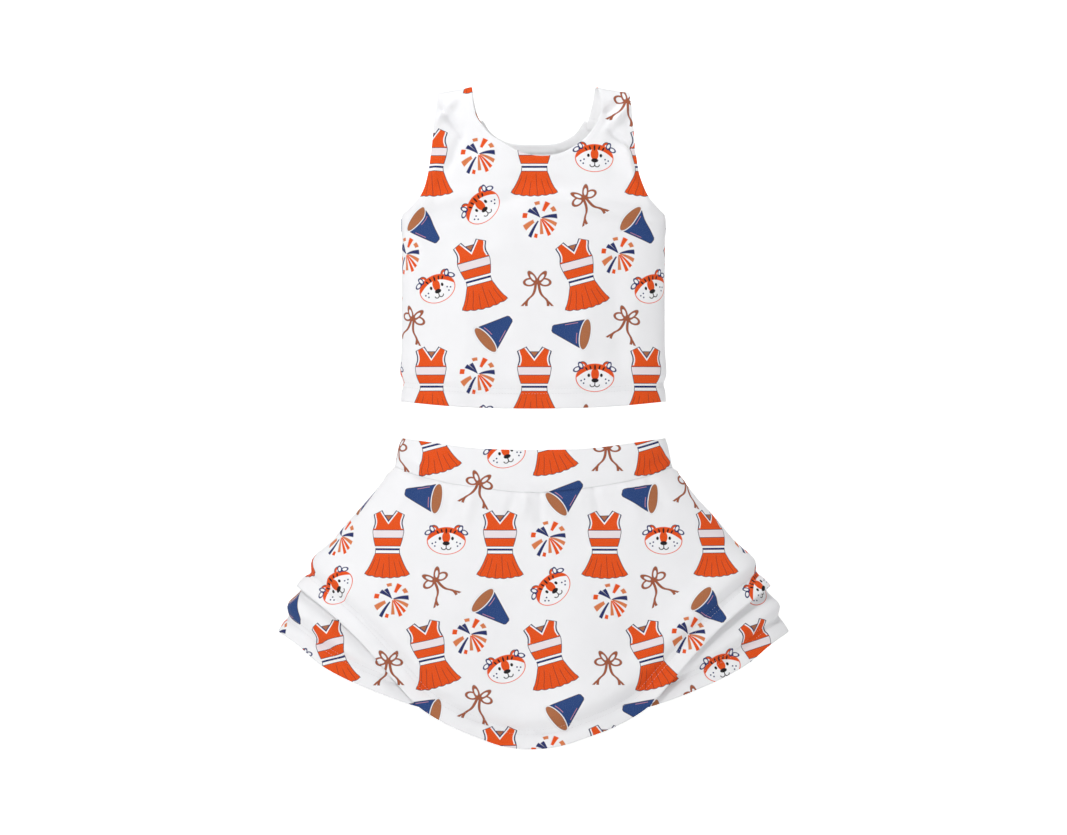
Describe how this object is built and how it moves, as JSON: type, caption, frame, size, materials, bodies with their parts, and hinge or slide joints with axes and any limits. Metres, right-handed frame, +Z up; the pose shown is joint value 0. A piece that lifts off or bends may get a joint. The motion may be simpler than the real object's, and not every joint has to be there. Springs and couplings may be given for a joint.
{
  "type": "child's two-piece cheer uniform",
  "caption": "Two-piece knit cheer uniform: a cropped sleeveless top with a strappy cut-out back over a flared skirt with a curved overlay, printed all over.",
  "frame": {"origin": "middle of the skirt's waist opening, level with the waistband's top edge at centre front", "axes": "+Z up, -Y the front, +X the wearer's left"},
  "size_m": [0.5464, 0.2264, 0.712],
  "materials": {
    "knit_print": "smooth white jersey with an all-over print",
    "knit_inside": "unprinted white reverse of the jersey",
    "elastic": "woven white elastic",
    "thread": "white polyester thread"
  },
  "bodies": {
    "skirt": {"waistband_front": "knit_print", "waistband_back": "knit_print", "waistband_lining_front": "knit_inside", "waistband_lining_back": "knit_inside", "waist_elastic": "elastic", "waist_seam_front": "knit_inside", "waist_seam_back": "knit_inside", "overlay_front_panel": "knit_print", "overlay_back_panel": "knit_print", "under_front_panel": "knit_print", "under_back_panel": "knit_print", "overlay_front_hem": "knit_inside", "overlay_back_hem": "knit_inside", "under_front_hem": "knit_inside", "under_back_hem": "knit_inside", "overlay_front_hem_stitch_low": "thread", "overlay_front_hem_stitch_high": "thread", "overlay_back_hem_stitch_low": "thread", "overlay_back_hem_stitch_high": "thread", "under_front_hem_stitch_low": "thread", "under_front_hem_stitch_high": "thread", "under_back_hem_stitch_low": "thread", "under_back_hem_stitch_high": "thread", "overlay_side_seam_left": "knit_inside", "overlay_side_seam_right": "knit_inside", "under_side_seam_left": "knit_inside", "under_side_seam_right": "knit_inside"},
    "top": {"top_front_panel": "knit_print", "strap_back_left": "knit_print", "strap_back_right": "knit_print", "top_back_yoke": "knit_print", "top_back_band": "knit_print", "top_front_hem": "knit_inside", "top_back_hem": "knit_inside", "neck_edge_front": "knit_inside", "neck_edge_back": "knit_inside", "armhole_edge_left": "knit_inside", "armhole_edge_right": "knit_inside", "yoke_edge_left": "knit_inside", "yoke_edge_right": "knit_inside", "arch_edge": "knit_inside", "band_elastic": "elastic", "band_casing": "knit_inside", "strap_seam_left": "knit_inside", "strap_seam_right": "knit_inside", "top_side_seam_left": "knit_inside", "top_side_seam_right": "knit_inside", "top_front_hem_stitch_low": "thread", "top_front_hem_stitch_high": "thread", "top_back_hem_stitch_low": "thread", "top_back_hem_stitch_high": "thread", "band_casing_stitch": "thread"}
  },
  "joints": [
    {"name": "top_lift", "type": "slide", "parent": "skirt", "child": "top", "axis": [0, 0, 1], "range_m": [0, 0.4]}
  ]
}
